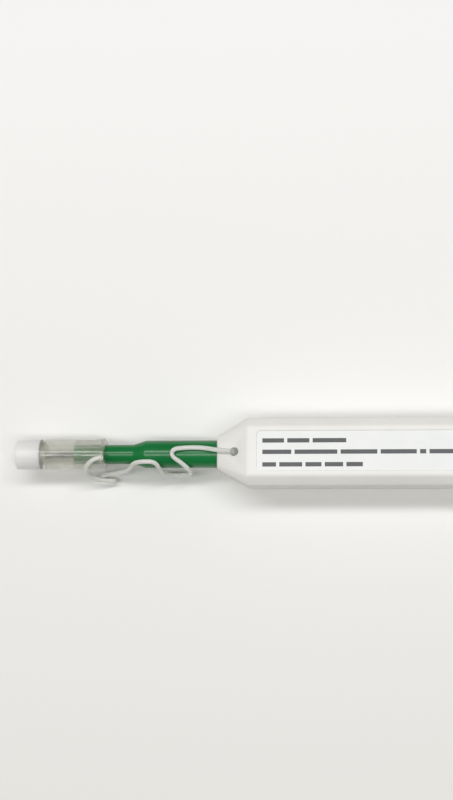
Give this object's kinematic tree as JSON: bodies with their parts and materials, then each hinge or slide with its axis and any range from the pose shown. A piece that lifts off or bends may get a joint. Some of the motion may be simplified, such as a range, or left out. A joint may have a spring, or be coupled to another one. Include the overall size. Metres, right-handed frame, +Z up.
{
  "type": "fibre connector cleaning pen",
  "caption": "Push-type fibre connector cleaning pen: octagonal housing, stepped nozzle with metal tip, clear guide cap, frosted end cap and a plastic tether.",
  "frame": {"origin": "bottom centre of the box round the pen without its tether, lying on its flat back", "axes": "+X along the pen from the tip to the butt, +Z up out of the label, +Y across"},
  "size_m": [0.1994, 0.018, 0.018],
  "materials": {
    "housing": "off-white moulded plastic",
    "label": "glossy white sticker",
    "green_plastic": "green moulded plastic",
    "clear_plastic": "clear plastic",
    "frosted_plastic": "frosted plastic",
    "cord_plastic": "translucent plastic",
    "inner_plastic": "natural moulded plastic",
    "gear_plastic": "natural acetal",
    "steel": "bright steel",
    "thread": "wound microfibre thread"
  },
  "bodies": {
    "shell": {"shell_lower": "housing", "shell_upper": "housing", "label": "label", "tether_plug": "cord_plastic", "tether": "cord_plastic", "cam_pin": "steel", "drive_rack": "gear_plastic", "return_spring": "steel"},
    "carriage": {"nozzle": "green_plastic", "tip_sleeve": "steel", "carriage_frame": "inner_plastic", "takeup_axle": "steel", "supply_axle": "steel", "backstop_pawl": "steel"},
    "gear": {"drive_gear": "gear_plastic"},
    "takeup": {"takeup_reel": "inner_plastic", "takeup_thread": "thread"},
    "supply": {"supply_reel": "inner_plastic", "supply_thread": "thread"},
    "rotor": {"cam_rotor": "gear_plastic", "tip_spring": "steel"},
    "tip": {"cleaning_tip": "steel"},
    "guide_cap_body": {"guide_cap": "clear_plastic"},
    "end_cap_body": {"end_cap": "frosted_plastic"}
  },
  "joints": [
    {"name": "push_slide", "type": "slide", "parent": "shell", "child": "carriage", "axis": [1, 0, 0], "range_m": [0, 0.006], "stiffness_N_per_m": 600, "springref_m": -0.006, "deforming": ["return_spring", "tether"]},
    {"name": "gear_spin", "type": "hinge", "parent": "carriage", "child": "gear", "pos_m": [0.02075, 0, 0.009], "axis": [0, 0, 1], "range_deg": [0, 68.76]},
    {"name": "takeup_spin", "type": "hinge", "parent": "carriage", "child": "takeup", "pos_m": [0.02075, 0, 0.009], "axis": [0, 0, 1], "range_deg": [0, 68.76], "deforming": ["backstop_pawl"]},
    {"name": "supply_spin", "type": "hinge", "parent": "carriage", "child": "supply", "pos_m": [0.04675, 0, 0.009], "axis": [0, 0, 1], "range_deg": [-51.58, 0]},
    {"name": "tip_spin", "type": "hinge", "parent": "carriage", "child": "rotor", "pos_m": [-0.06525, 0, 0.009], "axis": [1, 0, 0], "range_deg": [0, 180.01]},
    {"name": "tip_press", "type": "slide", "parent": "rotor", "child": "tip", "axis": [1, 0, 0], "range_m": [0, 0.001], "stiffness_N_per_m": 500, "springref_m": -0.001, "deforming": ["tip_spring"]},
    {"name": "cap_pull", "type": "slide", "parent": "carriage", "child": "guide_cap_body", "axis": [-1, 0, 0], "range_m": [0, 0.03], "deforming": ["tether"]},
    {"name": "end_cap_pull", "type": "slide", "parent": "guide_cap_body", "child": "end_cap_body", "axis": [-1, 0, 0], "range_m": [0, 0.012]}
  ],
  "couplings": [
    {"joint": "gear_spin", "follows": "push_slide", "rad_per_m": 200},
    {"joint": "takeup_spin", "follows": "push_slide", "rad_per_m": 200},
    {"joint": "supply_spin", "follows": "push_slide", "rad_per_m": -150},
    {"joint": "tip_spin", "follows": "push_slide", "rad_per_m": 523.6}
  ]
}
